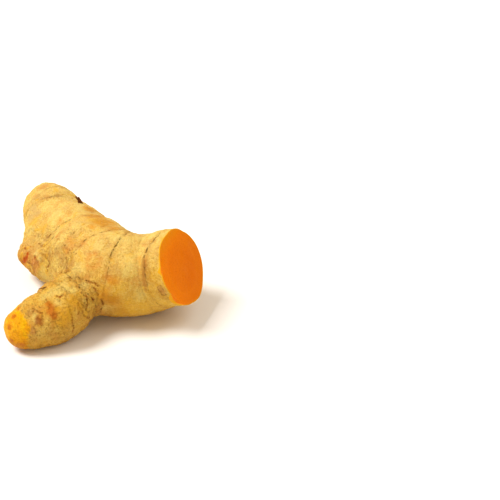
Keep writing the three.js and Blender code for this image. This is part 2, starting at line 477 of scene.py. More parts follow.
# where two rings would cross, both fade out
la = la * smooth(0.4, 1.8, other)
q = A3[:, 0] - arc_at(trunk, 0.975) + wob
m = np.abs(q) < np.abs(ra)
ra, pa, la = np.where(m, q, ra), np.where(m, 0.4, pa), np.where(m, 0.3, la)
pa = pa * (1 - on_bud)
finger_places = [arc_at(finger, t) for t in (0.08, 0.36, 0.60, 0.72, 0.84)]
finger_power = np.array([0.25, 0.3, 0.55, 0.75, 0.6])
rf, wf_ = ring_distance(-F3[:, 0], [-x for x in finger_places], 0.7 * noise(P * 0.2, 5) + 0.3 * noise(P * 0.5, 6))
pf = finger_power[wf_]
lf = pf * 0.8

# Short dark cracks in the skin, most of them round the finger's base.
CRACKS = [
    [(67.9, 277.9), (70.2, 278.3), (73.7, 280.8), (76, 277.4), (77.8, 276.5), (80, 278.8), (81.8, 280.5)],
    [(84.6, 279.6), (86.6, 280.8), (88.9, 281.7)],
    [(81.3, 293), (84, 295.4), (86.3, 297), (86.9, 300.5)],
    [(86.7, 304.2), (83.6, 305.5), (82.4, 308.5)],
    [(91.3, 297.8), (92.6, 300), (94.3, 301.7)],
    [(101.6, 299.8), (102.8, 303.3), (101.9, 307.3), (100.2, 312.6)],
    [(92.5, 313.1), (92.5, 316)],
    [(77.3, 285.9), (80, 287.9)],
]
FOLDS = [
    [(88.9, 281.7), (94.3, 283.2), (98.3, 285.9)],
    [(94, 288), (96.5, 291), (97.9, 295)],
    [(82.2, 311), (84, 315.5), (89.4, 318)],
    [(86.9, 297), (87.5, 304), (86, 311)],
    [(101.4, 299.3), (102.9, 304), (100, 313.1)],
    [(69, 307), (71, 314), (72, 320)],
    [(78, 303), (79.5, 308), (78, 314)],
    [(40.8, 253.9), (44.9, 255.4), (48, 260.5), (49.5, 263.6), (47.4, 267.6), (48.2, 271.5)],
    [(39.3, 243.7), (42, 245.4), (44.4, 245.7), (49, 242), (53.6, 237.5)],
    [(66.2, 258), (67, 265.8), (66.4, 272.5)],
    [(27, 262.4), (29.4, 263.6), (31.4, 266), (32.6, 269.4)],
    [(34.5, 256), (36.5, 261), (38.2, 265.5)],
    [(57, 296), (59.5, 296.8), (62.5, 295.5)],
    [(33, 309), (38, 312), (42, 313.5)],
    [(72, 322), (74, 328), (72.5, 333)],
]


def along_lines(lines):
    """Millimetres to the nearest of these lines across photographed pixels."""
    best = np.full(len(P), 9.0)
    for line in lines:
        pts = photo_points(line)
        hit = np.abs(field(pts)) < 0.3
        for u, v, hu, hv in zip(pts, pts[1:], hit, hit[1:]):
            if not (hu and hv) or np.linalg.norm(v - u) > 4:
                continue
            w = v - u
            h = np.clip(((P - u) @ w) / (w @ w), 0, 1)
            best = np.minimum(best, np.linalg.norm(P - u - h[:, None] * w, axis=1))
    return best


crack, fold_line = along_lines(CRACKS), along_lines(FOLDS)
# More of them where the photo doesn't see the finger's base.
torn = np.abs(noise(P * np.array([0.55, 0.55, 0.55]), 91)) + 2.2 * (1 - crease_f) + 1.2 * smooth(-6, -12, P[:, 1] + 0.8 * P[:, 2] - 14)
crack = np.minimum(crack, torn * 3.2)

peel_line = photo_points([(21, 304.7), (23, 310), (28, 320), (28.8, 331), (27.4, 341)])
peel_at = np.interp(P[:, 2], peel_line[::-1, 2], peel_line[::-1, 0])
peel_d = peel_at - P[:, 0] + 0.35 * (P[:, 1] + 33) * (P[:, 1] > -33) * -1.0 + 0.5 * noise(P * 0.5, 31) + 0.3 * noise(P * 1.3, 32)
peel_d = np.where(on_finger > 0.5, peel_d, -5)

orange = spots(seen((48.3, 303.5, 0.9), (50, 306, 1.2), (51.2, 308.5, 1.5), (52.3, 311, 1.7), (53.3, 313.8, 1.3), (54.5, 317, 0.9)), 1.0)
blush = spots(seen((92.6, 267, 1.0), (87.6, 266, 0.8), (98, 264, 1.0), (100, 259, 0.9), (88, 259.5, 1.0), (90, 255.5, 0.9), (95, 253.5, 1.0), (69, 240, 1.3), (71, 245, 1.4), (67, 249, 1.2), (83, 243, 1.2), (107.5, 277.5, 1.0), (60, 222, 1.2), (57, 236, 1.0)), 1.0)
# painted shade: darker amber on the lobe's right side and on the trunk's low flank
amber_shade = spots(seen((90, 210, 2.2), (95, 216, 2.8), (100, 221, 2.6), (106, 226, 2.2), (112, 230, 1.6), (120, 309, 2.8), (114, 317, 2.0), (112, 301, 2.4), (126, 314, 1.8)), 1.0)
smear = spots(seen((144.5, 262, 0.9), (144.5, 266, 1.1), (144, 270, 1.1), (143.5, 275, 1.0), (144, 280, 0.9), (145, 285, 0.8), (146, 290, 0.7)), 1.0)
# cream patches on the lobe's left flank, darkened as painted shade
cream_and_shade = spots(seen((33, 209, 2.0), (32, 216, 2.2), (37, 213, 1.6)), 1.0)
honey = spots(seen((149, 303, 4.6), (135, 306, 4.0), (163, 304, 3.0), (150, 293, 2.4)), 1.0)
rust = spots(seen((37.3, 318, 0.9), (38.8, 320.3, 1.4), (40.6, 323, 0.9), (22.5, 246, 0.35), (25.5, 248.5, 0.5), (28, 252.5, 0.5), (31, 247, 0.3), (35, 257.5, 0.5), (38.5, 262, 0.5), (60, 297, 0.4), (46, 299, 0.4), (93, 299.5, 0.5), (86, 296, 0.4)), 1.0)
pink = spots(seen((43, 187, 2.4), (32, 331, 1.6), (32.5, 262, 1.4), (36.5, 265, 1.6), (34, 269.5, 1.3), (163, 291, 1.4)), 1.0)
# golden tone of the skin, and painted shade on the lobe's right side
golden_and_shade = spots(seen((98, 217, 4.0), (107, 222, 3.5), (115, 228, 3.0), (104, 296, 3.0), (112, 300, 3.4), (75, 304, 2.0), (62, 314, 3.2), (57, 320, 2.4), (43, 312, 2.4), (47, 308, 2.2), (66, 322, 2.4), (113, 281, 1.8), (138, 262, 2.2), (96, 215, 3.0), (98, 222, 2.4), (88, 209, 2.4), (92, 217, 2.4), (102, 224, 2.4), (92, 227, 1.8)), 1.0)
# paler skin, and painted highlight on the lobe's left flank and the trunk's top
pale_and_highlight = spots(seen((64, 287, 3.0), (71, 290, 1.8), (57, 291, 1.8), (76, 270, 3.0), (66, 276, 2.2), (80, 209, 2.6), (42, 274, 1.8), (84, 286, 1.5), (140, 296, 2.4), (34.3, 316, 1.2), (35.5, 320.5, 1.0), (50, 293, 2.4), (44, 297, 2.0), (58, 303, 1.6), (118, 238, 2.8), (128, 240, 2.2), (140, 238, 2.0), (109, 232, 1.8), (30, 200, 2.0), (30, 231, 2.4), (40, 191, 2.0), (36, 253, 1.4), (40, 259, 1.5), (46, 278, 2.0), (43, 268, 1.6), (133, 263, 3.0), (127, 272, 2.2), (152, 236, 2.0), (56, 214, 3.2), (76, 226, 2.4), (98, 246, 2.4)), 1.0)
# greyish skin, and painted shade by the bud and on the lobe
greyed_and_shade = spots(seen((30, 313, 1.5), (143.5, 267, 1.1), (144, 275, 1.2), (144.5, 284, 1.2), (42, 260, 2.0), (50, 250, 2.4), (62, 248, 2.0), (62, 258, 2.6), (66, 266, 2.2), (57, 252, 2.4), (71, 262, 1.8), (38, 196, 1.6), (58, 196, 1.6)), 1.0)
ember = spots(seen((9, 327, 1.2), (11.5, 341, 1.0), (22, 345.5, 1.6), (19, 307, 1.4), (14, 316, 1.0)), 1.0)
# the oval scar of a bud by the cut, as a rim round a paler middle
ov = seen((160, 287.5, 1.0), (163.5, 294, 1.0))
ov_a, ov_b = np.array(ov[0][:3]), np.array(ov[1][:3])
w = ov_b - ov_a
h = np.clip(((P - ov_a) @ w) / (w @ w), 0, 1)
oval = np.linalg.norm(P - ov_a - h[:, None] * w, axis=1)
bud_tip = photo_points([(24.5, 260)])[0]
bud_ring = np.linalg.norm(P - bud_tip, axis=1)
bruise = spots(seen((22.6, 262, 0.8), (24, 260.3, 1.1), (25.6, 258.3, 1.0), (27, 256, 0.7), (27.6, 254, 0.5)), 1.0)
sunny = spots(seen((74, 300, 1.8), (80, 307, 1.5), (66, 318, 1.8), (70, 311, 1.4), (86, 313, 1.2), (58, 309, 1.0), (62, 323, 1.6)), 1.0)
lemon = spots(seen((26.5, 264.6, 0.7), (28.2, 265.8, 0.9), (30, 267.4, 1.0), (31.8, 269.3, 0.8), (21, 257, 0.9), (22, 253.5, 0.8)), 1.0)

# Scars where old roots and dormant buds were, mostly low down and on the far side.
rng = np.random.default_rng(7)
scars = []
tries = 0
while len(scars) < 15 and tries < 4000:
    tries += 1
    q = P[rng.integers(len(P))]
    n = slope(q[None])[0]
    if q[2] < 0.6 or n[2] > 0.35 or (q - CUT_CENTRE) @ CUT_NORMAL > -3:
        continue
    if n @ np.array([0, -0.82, 0.57]) > 0.05:
        continue
    if all(np.linalg.norm(q - np.array(s[:3])) > 5 for s in scars):
        scars.append([*q, float(rng.uniform(0.45, 0.95))])
scar = spots(scars, 1.0) + 0.45 * noise(P * 0.8, 33)

# ------------------------------------------------------------------ fine relief
rough_f = 1 + 0.5 * on_finger + 0.4 * crease_b
height = 0.16 * fbm(P * 0.28, 2, 11) + 0.10 * fbm(P * 0.75, 2, 12) * rough_f
height += 0.075 * fbm(P * 1.6, 2, 13) * rough_f
# fine ridges that run round the limb, stronger by the rings
band_a = np.exp(-np.abs(ra) / 2.2) * pa
band_f = np.exp(-np.abs(rf) / 1.6) * pf
stri_a = noise(A3 * np.array([1.5, 0.16, 0.16]), 41) * (0.035 + 0.09 * band_a)
stri_f = noise(F3 * np.array([1.3, 0.2, 0.2]), 42) * (0.06 + 0.14 * band_f)
height += stri_a * (1 - on_finger) + stri_f * on_finger
# shallow furrows that run along the limb
furrow_a = noise(A3 * np.array([0.09, 0.5, 0.5]), 43)
furrow_f = noise(F3 * np.array([0.12, 0.55, 0.55]), 44)
height += 0.08 * furrow_a * (1 - on_finger) + 0.13 * furrow_f * on_finger


def ring_relief(r, power, seed):
    broken = smooth(-0.75, 0.1, noise(P * 0.5, seed))
    groove = -0.17 * np.exp(-((r / 0.42) ** 2))
    ledge = 0.2 * np.exp(-np.maximum(r - 0.35, 0) / 1.5) * smooth(0.0, 0.5, r)
    return (groove + ledge) * power * (0.35 + 0.65 * broken)


height += ring_relief(ra, pa, 51) * (1 - on_finger) * (1 - crease_f)
height += ring_relief(rf, pf * 1.3, 52) * on_finger
# rings round the bud knob's tip, with a small sunken eye
budw = smooth(9.0, 5.5, bud_ring) * (1 - on_finger)
fold = bud_ring + 1.3 * noise(P * 0.25, 60)
height += budw * 0.14 * np.cos(fold * 2 * np.pi / 2.3 + 0.9 * noise(P * 0.6, 61)) * smooth(0.6, 2.0, bud_ring)
height -= 0.35 * np.exp(-((bud_ring / 1.0) ** 2))
# the crease round the finger's base is torn and scaly
scaly = crease_f * (0.5 + 0.5 * noise(P * 0.9, 71))
height += 0.13 * scaly * noise(P * 1.2, 72)
height -= 0.05 * np.exp(-((fold_line / 0.45) ** 2)) * smooth(-0.5, 0.3, noise(P * 0.9, 75))
height -= 0.07 * np.exp(-((crack / 0.33) ** 2)) * (0.2 + 0.8 * smooth(-0.4, 0.3, noise(P * 0.8, 73)))
near_base = np.maximum(crease_f, np.exp(-np.abs(rf + 1.0) / 3.0) * on_finger * smooth(0.55, 0.68, tc))
height += 0.07 * near_base * np.abs(noise(P * 1.5, 74)) - 0.035 * near_base
height += 0.12 * np.exp(-(((oval - 1.0) / 0.35) ** 2)) - 0.15 * np.exp(-((oval / 0.6) ** 2))
# scars: a low rim round a pit
height += np.where(scar < 2.0, 0.22 * np.exp(-(((scar - 1) / 0.35) ** 2)) * 0.5 - 0.2 * np.exp(-((scar / 0.6) ** 2)), 0)
# peeled skin at the finger's tip lies a little lower, and is smoother
peeled = smooth(-0.8, 0.8, peel_d)
height = height * (1 - 0.45 * peeled) - 0.10 * peeled
# calm at the knife cut, so that the rim stays in its plane
calm = smooth(0.0, 1.2, cut_far)
height *= 0.35 + 0.65 * calm

P2 = P + N * height[:, None]
over = (P2 - CUT_CENTRE) @ CUT_NORMAL
P2[on_rim] -= over[on_rim, None] * CUT_NORMAL
inner = ~on_rim & (over > -0.03)
P2[inner] -= (over[inner] + 0.03)[:, None] * CUT_NORMAL
P2[:, 2] = np.maximum(P2[:, 2], 0)
rim_pts = P2[rim]

# ------------------------------------------------------------------ the cut face
centre = rim_pts.mean(0)
side1 = np.cross(CUT_NORMAL, [0, 0, 1.0])
side1 /= np.linalg.norm(side1)
side2 = np.cross(CUT_NORMAL, side1)


def on_blade(px, py):
    e = math.radians(35)
    f = np.array([0, math.cos(e), -math.sin(e)])
    u = np.array([0, math.sin(e), math.cos(e)])
    ray = f + (px - 250) / 500 * 155 / 560 * np.array([1.0, 0, 0]) + (250 - py) / 500 * 155 / 560 * u
    o = np.array([39.8, -440.225, 321.203])
    q = o + ray * (((CUT_CENTRE - o) @ CUT_NORMAL) / (ray @ CUT_NORMAL)) - centre
    return [q @ side1, q @ side2]


# On one side the blade shaved the skin off beside the bare flesh: a strip about 1 mm wide.
SHAVED = [math.atan2(*on_blade(x, y)[::-1]) for x, y in ((160.5, 270), (168, 289), (186, 305))]


def turned(a1, a0):
    return (a1 - a0 + np.pi) % (2 * np.pi) - np.pi


# There the bare flesh reaches this far back over the edge, in millimetres.
over_edge = photo_points([(160.3, 266), (160.4, 272), (162.6, 275.5), (166, 281), (169.2, 288), (171.4, 294), (173.4, 300), (177, 303.4)])
over_edge = over_edge[np.abs(field(over_edge)) < 0.3]
over_angle = turned(np.arctan2((over_edge - centre) @ side2, (over_edge - centre) @ side1), SHAVED[1])
over_reach = np.maximum(0.0, -(over_edge - CUT_CENTRE) @ CUT_NORMAL)
order = np.argsort(over_angle)
over_angle, over_reach = over_angle[order], over_reach[order]
over_angle = np.concatenate([[over_angle[0] - 0.25], over_angle, [over_angle[-1] + 0.25]])
over_reach = np.concatenate([[0.0], over_reach, [0.0]])


def reach_at(xy):
    return np.interp(turned(np.arctan2(xy[:, 1], xy[:, 0]), SHAVED[1]), over_angle, over_reach)


def inside_edge(xy, from_rim):
    """Millimetres from the edge of the bare flesh, positive inside it."""
    return from_rim - 0.12 + np.minimum(reach_at(xy), 0.6)


shares = np.concatenate([[0.992, 0.975, 0.955, 0.93], np.linspace(0.90, 0.05, 26)])
cap_pts, cap_share, cap_inset = [], [], []
loop_pts = rim_pts - centre
for s in shares:
    loop_pts = 0.5 * loop_pts + 0.25 * (np.roll(loop_pts, 1, 0) + np.roll(loop_pts, -1, 0))
    q = centre + loop_pts * s
    x, y = (q - centre) @ side1, (q - centre) @ side2
    # faint marks of the blade, and a slightly uneven face
    bump = 0.012 * np.sin(1.9 * (x * 0.94 + y * 0.34) + 1.6 * noise(np.stack([x * 0.4, y * 0.4, 0 * x], 1), 80))
    bump += 0.05 * noise(np.stack([x * 0.5, y * 0.5, 0 * x], 1), 81) - 0.10
    bump += 0.03 * noise(np.stack([x * 1.6, y * 1.6, 0 * x], 1), 82)
    bump *= min(1.0, (1 - s) / 0.05)
    flesh_in = inside_edge(np.stack([x, y], 1), (1 - s) * np.linalg.norm(loop_pts, axis=1))
    bump = np.minimum(bump, 0) - 0.22 * np.clip(-flesh_in, 0, 1.2) * (1 if s > 0.9 else 0)
    cap_pts.append(q + bump[:, None] * CUT_NORMAL)
    cap_share.append(np.full(len(rim_pts), s))
    cap_inset.append(flesh_in)
m = len(rim)
first = len(P2)
cap = np.concatenate(cap_pts)
all_pts = np.concatenate([P2, cap, [centre - 0.06 * CUT_NORMAL]])
last = len(all_pts) - 1
cap_faces = []
rings = [list(rim)] + [[first + k * m + j for j in range(m)] for k in range(len(shares))]
for r0, r1 in zip(rings, rings[1:]):
    for j in range(m):
        cap_faces.append([r0[j], r0[(j + 1) % m], r1[(j + 1) % m], r1[j]])
for j in range(m):
    cap_faces.append([rings[-1][j], rings[-1][(j + 1) % m], last])
v0, v1, v2 = (all_pts[i] for i in cap_faces[len(cap_faces) // 2][:3])
if np.cross(v1 - v0, v2 - v0) @ CUT_NORMAL < 0:
    cap_faces = [f[::-1] for f in cap_faces]

mesh = bpy.data.meshes.new("turmeric_skin")
mesh.from_pydata(((all_pts + SHIFT) / 1000).tolist(), [], faces + cap_faces)
mesh.validate()
mesh.polygons.foreach_set("use_smooth", [True] * len(mesh.polygons))
is_cap = np.zeros(len(mesh.polygons), np.int32)
is_cap[len(faces) :] = 1
mesh.polygons.foreach_set("material_index", is_cap)
on_edge = set()
for j in range(m):
    on_edge.add((min(rim[j], rim[(j + 1) % m]), max(rim[j], rim[(j + 1) % m])))
flag = [tuple(sorted(e.vertices)) in on_edge for e in mesh.edges]
mesh.edges.foreach_set("use_edge_sharp", flag)


def store(name, values, fill=0.0):
    full = np.full(len(all_pts), fill, np.float32)
    full[: len(values)] = values
    mesh.attributes.new(name, "FLOAT", "POINT").data.foreach_set("value", full)


def store3(name, values):
    full = np.zeros((len(all_pts), 3), np.float32)
    full[: len(values)] = values
    mesh.attributes.new(name, "FLOAT_VECTOR", "POINT").data.foreach_set("vector", full.ravel())


store3("limb_a", A3)
store3("limb_f", F3)
store("on_finger", on_finger)
store("on_bud", on_bud)
store("ring_a", np.clip(ra, -9, 9), 9)
store("ring_f", np.clip(rf, -9, 9), 9)
store("power_a", pa * (1 - 0.8 * crease_f))
store("power_f", pf)
store("line_a", la * np.minimum(1, 2.5 * pa) * (1 - crease_f))
store("line_f", lf)
store("fold_line", np.clip(fold_line, 0, 5), 5)
store("pale_and_highlight", np.clip(pale_and_highlight, 0, 3), 3)
store("greyed_and_shade", np.clip(greyed_and_shade, 0, 3), 3)
store("ember", np.clip(ember, 0, 3), 3)
store("crease_f", crease_f)
store("crease_b", crease_b)
store("peel", np.clip(peel_d, -3, 3), -3)
store("orange", np.clip(orange, 0, 3), 3)
store("rust", np.clip(rust, 0, 3), 3)
store("pink", np.clip(pink, 0, 3), 3)
store("scar", np.clip(scar, 0, 3), 3)
store("blush", np.clip(blush, 0, 3), 3)
store("smear", np.clip(smear, 0, 3), 3)
store("amber_shade", np.clip(amber_shade, 0, 3), 3)
store("cream_and_shade", np.clip(cream_and_shade, 0, 3), 3)
store("honey", np.clip(honey, 0, 3), 3)
store("crack", np.clip(crack, 0, 5), 5)
store("golden_and_shade", np.clip(golden_and_shade, 0, 3), 3)
store("oval", np.clip(oval, 0, 5), 5)
store("near_base", near_base)
# painted highlight: the upward-facing side of the limbs is paler
store("top_highlight", smooth(0.30, 0.95, N[:, 2]) * (1 - 0.85 * on_finger))
low_left = smooth(0.1, 0.8, (P - centre) @ (side1 * np.sign(side1 @ np.array([-1.0, 0, 0])) * 0.75 + np.array([0, 0, -0.66])) / 10.0)
reached = reach_at(np.stack([(P - centre) @ side1, (P - centre) @ side2], 1))
store("shave", np.clip(cut_far - reached, -2, 9), 9)
store("strip", np.clip(reached * 2.5, 0, 1))
store("bud_ring", np.clip(bud_ring, 0, 20), 20)
store("bruise", np.clip(bruise, 0, 3), 3)
store("lemon", np.clip(lemon, 0, 3), 3)
store("sunny", np.clip(sunny, 0, 3), 3)
store("cut_far", np.clip(cut_far, 0, 9), 9)
share = np.ones(len(all_pts), np.float32)
share[first:last] = np.concatenate(cap_share)
share[last] = 0
mesh.attributes.new("share", "FLOAT", "POINT").data.foreach_set("value", share)
inset = np.full(len(all_pts), 0.0, np.float32)
inset[rim] = inside_edge(np.stack([(rim_pts - centre) @ side1, (rim_pts - centre) @ side2], 1), 0.0)
inset[first:last] = np.concatenate(cap_inset)
inset[last] = 5
mesh.attributes.new("inset", "FLOAT", "POINT").data.foreach_set("value", np.clip(inset, -2, 5))


# ------------------------------------------------------------------ materials
class Nodes:
    def __init__(self, name):
        self.mat = bpy.data.materials.new(name)
        self.mat.use_nodes = True
        self.t = self.mat.node_tree
        self.t.nodes.clear()
        self.out = self.t.nodes.new("ShaderNodeOutputMaterial")
        self.shader = self.t.nodes.new("ShaderNodeBsdfPrincipled")
        self.link(self.shader.outputs[0], self.out.inputs[0])
        tc = self.t.nodes.new("ShaderNodeTexCoord")
        s = self.t.nodes.new("ShaderNodeVectorMath")
        s.operation = "SCALE"
        self.link(tc.outputs["Object"], s.inputs[0])
        s.inputs["Scale"].default_value = 1000.0
        self.mm = s.outputs[0]

    def link(self, a, b):
        self.t.links.new(a, b)

    def put(self, socket, value):
        if isinstance(value, bpy.types.NodeSocket):
            self.link(value, socket)
        elif isinstance(value, tuple):
            socket.default_value = (*value, 1.0) if len(value) == 3 and socket.type == "RGBA" else value
        else:
            socket.default_value = value

    def attr(self, name, vector=False):
        n = self.t.nodes.new("ShaderNodeAttribute")
        n.attribute_name = name
        return n.outputs["Vector" if vector else "Fac"]

    def math(self, op, x, y=0.0, z=None, clamp=False):
        n = self.t.nodes.new("ShaderNodeMath")
        n.operation = op
        n.use_clamp = clamp
        self.put(n.inputs[0], x)
        self.put(n.inputs[1], y)
        if z is not None:
            self.put(n.inputs[2], z)
        return n.outputs[0]

    def scaled(self, v, x, y, z):
        n = self.t.nodes.new("ShaderNodeVectorMath")
        n.operation = "MULTIPLY"
        self.put(n.inputs[0], v)
        n.inputs[1].default_value = (x, y, z)
        return n.outputs[0]

    def noise(self, v, scale, detail=2.0, rough=0.5, distort=0.0):
        n = self.t.nodes.new("ShaderNodeTexNoise")
        self.put(n.inputs["Vector"], v)
        n.inputs["Scale"].default_value = scale
        n.inputs["Detail"].default_value = detail
        n.inputs["Roughness"].default_value = rough
        n.inputs["Distortion"].default_value = distort
        return n.outputs[0]

    def cells(self, v, scale, feature="F1"):
        n = self.t.nodes.new("ShaderNodeTexVoronoi")
        n.feature = feature
        self.put(n.inputs["Vector"], v)
        n.inputs["Scale"].default_value = scale
        return n.outputs["Distance"]

    def step(self, x, lo, hi, a=0.0, b=1.0):
        n = self.t.nodes.new("ShaderNodeMapRange")
        n.interpolation_type = "SMOOTHSTEP"
        self.put(n.inputs[0], x)
        n.inputs[1].default_value, n.inputs[2].default_value = lo, hi
        n.inputs[3].default_value, n.inputs[4].default_value = a, b
        return n.outputs[0]

    def mix(self, f, x, y, how="MIX"):
        n = self.t.nodes.new("ShaderNodeMix")
        n.data_type = "RGBA"
        n.blend_type = how
        self.put(n.inputs[0], f)
        self.put(n.inputs[6], x)
        self.put(n.inputs[7], y)
        return n.outputs[2]

    def lerp(self, f, x, y):
        n = self.t.nodes.new("ShaderNodeMix")
        n.data_type = "FLOAT"
        self.put(n.inputs[0], f)
        self.put(n.inputs[2], x)
        self.put(n.inputs[3], y)
        return n.outputs[0]

    def bump(self, height, distance, strength=1.0):
        n = self.t.nodes.new("ShaderNodeBump")
        n.inputs["Strength"].default_value = strength
        n.inputs["Distance"].default_value = distance
        self.link(height, n.inputs["Height"])
        self.link(n.outputs[0], self.shader.inputs["Normal"])


def lin(r, g, b, share=0.76):
    """A colour given as it looks in full light, in 8-bit display values, and how much of that light the surface takes."""

    def one(v):
        v /= 255.0
        return v / 12.92 if v <= 0.04045 else ((v + 0.055) / 1.055) ** 2.4

    return (share * one(r), share * one(g), share * one(b))


def skin_material():
    s = Nodes("turmeric_skin")
    mm = s.mm
    LA, LF = s.attr("limb_a", True), s.attr("limb_f", True)
    wf = s.attr("on_finger")
    big = s.noise(mm, 0.085, 2.0, 0.5)
    mid = s.noise(mm, 0.30, 4.0, 0.6, 0.4)
    small = s.noise(mm, 1.15, 4.0, 0.62)
    fine = s.noise(mm, 4.2, 3.0, 0.6)
    round_a = s.noise(s.scaled(LA, 1.0, 0.11, 0.11), 1.5, 3.0, 0.6)
    round_f = s.noise(s.scaled(LF, 1.0, 0.16, 0.16), 1.3, 3.0, 0.6)
    around = s.lerp(wf, round_a, round_f)
    along_a = s.noise(s.scaled(LA, 0.10, 1.0, 1.0), 0.75, 3.0, 0.6)
    along_f = s.noise(s.scaled(LF, 0.14, 1.0, 1.0), 0.8, 3.0, 0.6)
    along = s.lerp(wf, along_a, along_f)

    light = lin(253, 214, 106)
    straw = lin(245, 193, 70)
    tan = lin(224, 160, 46)
    brown = lin(150, 88, 22)
    dark = lin(112, 66, 16)

    col = s.mix(s.step(big, 0.36, 0.64), light, straw)
    col = s.mix(s.step(mid, 0.45, 0.72, 0.0, 0.60), col, tan)
    col = s.mix(s.step(around, 0.52, 0.76, 0.0, 0.12), col, lin(204, 138, 42))
    col = s.mix(s.step(along, 0.56, 0.78, 0.0, 0.16), col, lin(214, 148, 46))
    col = s.mix(s.step(small, 0.36, 0.22, 0.0, 0.36), col, lin(255, 226, 130))
    cloud = s.noise(mm, 0.17, 4.0, 0.62, 0.6)
    col = s.mix(s.step(cloud, 0.50, 0.68, 0.0, 0.62), col, lin(206, 148, 58))
    col = s.mix(s.step(cloud, 0.44, 0.28, 0.0, 0.45), col, lin(255, 220, 118))
    # painted highlight: paler cream where the skin faces up
    col = s.mix(s.math("MULTIPLY", s.attr("top_highlight"), s.step(big, 0.25, 0.6, 0.15, 0.28)), col, lin(255, 232, 158))
    honey = s.step(s.math("ADD", s.attr("honey"), s.math("MULTIPLY", s.math("SUBTRACT", mid, 0.5), 1.5)), 1.5, 0.3, 0.0, 0.6)
    col = s.mix(honey, col, lin(255, 200, 66))
    grain = s.noise(mm, 1.9, 3.0, 0.68)
    col = s.mix(s.step(grain, 0.52, 0.66, 0.0, 0.46), col, lin(204, 138, 38))
    col = s.mix(s.step(grain, 0.46, 0.32, 0.0, 0.40), col, lin(255, 230, 138))
    speckle = s.noise(mm, 3.1, 2.0, 0.7)
    col = s.mix(s.math("MULTIPLY", s.step(speckle, 0.54, 0.68), s.lerp(wf, 0.34, 0.48)), col, lin(190, 120, 32))
    col = s.mix(s.step(speckle, 0.44, 0.32, 0.0, 0.36), col, lin(255, 232, 144))
    # golden patches: the skin's own tone, and painted shade on the lobe's right side
    gold_and_shade = s.math("ADD", s.attr("golden_and_shade"), s.math("MULTIPLY", s.math("SUBTRACT", s.noise(mm, 0.3, 3.0, 0.6), 0.5), 1.5))
    col = s.mix(s.step(gold_and_shade, 1.15, 0.2, 0.0, 0.70), col, lin(234, 154, 26))
    # the finger is browner and blotchier
    blotch = s.step(s.noise(mm, 0.42, 5.0, 0.65, 0.8), 0.42, 0.62)
    col = s.mix(s.math("MULTIPLY", wf, s.math("MULTIPLY", blotch, 0.55)), col, lin(218, 144, 36))
    col = s.mix(
        s.math("MULTIPLY", wf, s.step(small, 0.56, 0.70, 0.0, 0.34)), col, lin(182, 112, 28)
    )
    col = s.mix(s.math("MULTIPLY", wf, 0.32), col, lin(255, 206, 86))
    # warm stains on both sides of a ring, then the thin dark broken line of the ring itself
    wander = s.math("MULTIPLY", s.math("SUBTRACT", s.noise(mm, 0.6, 3.0, 0.55), 0.5), 0.9)
    line = None
    for letter, w in (("a", s.math("SUBTRACT", 1.0, wf)), ("f", wf)):
        r = s.math("ADD", s.attr("ring_" + letter), wander)
        ar = s.math("ABSOLUTE", r)
        power = s.math("MULTIPLY", s.attr("power_" + letter), w)
        stain = s.math("MULTIPLY", s.step(ar, 2.2, 0.2), power)
        stain = s.math("MULTIPLY", stain, s.step(mid, 0.38, 0.62, 0.08, 0.50))
        col = s.mix(stain, col, lin(190, 122, 44))
        gaps = s.step(s.noise(mm, 1.0, 4.0, 0.7), 0.46, 0.60)
        hair = s.math("MULTIPLY", s.step(ar, 0.24, 0.03), s.math("MULTIPLY", gaps, s.math("MULTIPLY", s.attr("line_" + letter), w)))
        line = hair if line is None else s.math("MAXIMUM", line, hair)
    # dirt and painted shade: the creases are darker and browner
    crease_dirt_and_shade = s.math("MULTIPLY", s.attr("crease_f"), s.step(mid, 0.42, 0.64, 0.0, 0.45))
    col = s.mix(crease_dirt_and_shade, col, lin(204, 140, 58))
    jitter = s.math("MULTIPLY", s.math("SUBTRACT", s.noise(mm, 1.6, 3.0, 0.6), 0.5), 0.6)
    split_d = s.math("ADD", s.attr("crack"), jitter)
    cracks = s.math("MULTIPLY", s.step(split_d, 0.17, 0.03), s.step(small, 0.40, 0.56))
    col = s.mix(s.math("MULTIPLY", s.step(split_d, 1.0, 0.2), 0.25), col, lin(170, 106, 40))
    folds = s.math("MULTIPLY", s.step(s.math("ADD", s.attr("fold_line"), jitter), 0.55, 0.05), s.step(grain, 0.34, 0.58, 0.25, 0.9))
    col = s.mix(folds, col, lin(166, 98, 24))
    crinkle = s.math("ABSOLUTE", s.math("SUBTRACT", s.noise(mm, 0.75, 4.0, 0.62, 0.6), 0.5))
    crinkle = s.math("MULTIPLY", s.step(crinkle, 0.022, 0.002), s.step(grain, 0.42, 0.58))
    crinkle = s.math("MULTIPLY", crinkle, s.lerp(s.math("MAXIMUM", wf, s.attr("crease_b")), 0.14, 0.50))
    col = s.mix(crinkle, col, lin(160, 98, 26))
    web = s.step(s.cells(s.mix(0.12, mm, s.noise(mm, 1.0, 2.0)), 0.8, "DISTANCE_TO_EDGE"), 0.06, 0.0)
    web = s.math("MULTIPLY", web, s.math("MULTIPLY", s.step(s.attr("near_base"), 0.2, 0.7), s.step(small, 0.46, 0.58)))
    col = s.mix(s.math("MULTIPLY", web, 0.5), col, lin(150, 92, 36))
    # dirt and painted shade: darker brown in the crease round the bud knob
    col = s.mix(s.math("MULTIPLY", s.attr("crease_b"), s.step(mid, 0.45, 0.65, 0.0, 0.4)), col, lin(196, 132, 52))
    # the bud knob: browner towards its rust-coloured tip, with rings round it
    br = s.math("ADD", s.attr("bud_ring"), s.math("MULTIPLY", s.math("SUBTRACT", mid, 0.5), 2.4))
    col = s.mix(s.step(br, 9.5, 2.5, 0.0, 0.60), col, lin(202, 136, 60))
    col = s.mix(s.math("MULTIPLY", s.step(br, 6.5, 3.0), s.step(grain, 0.48, 0.62, 0.0, 0.55)), col, lin(176, 104, 46))
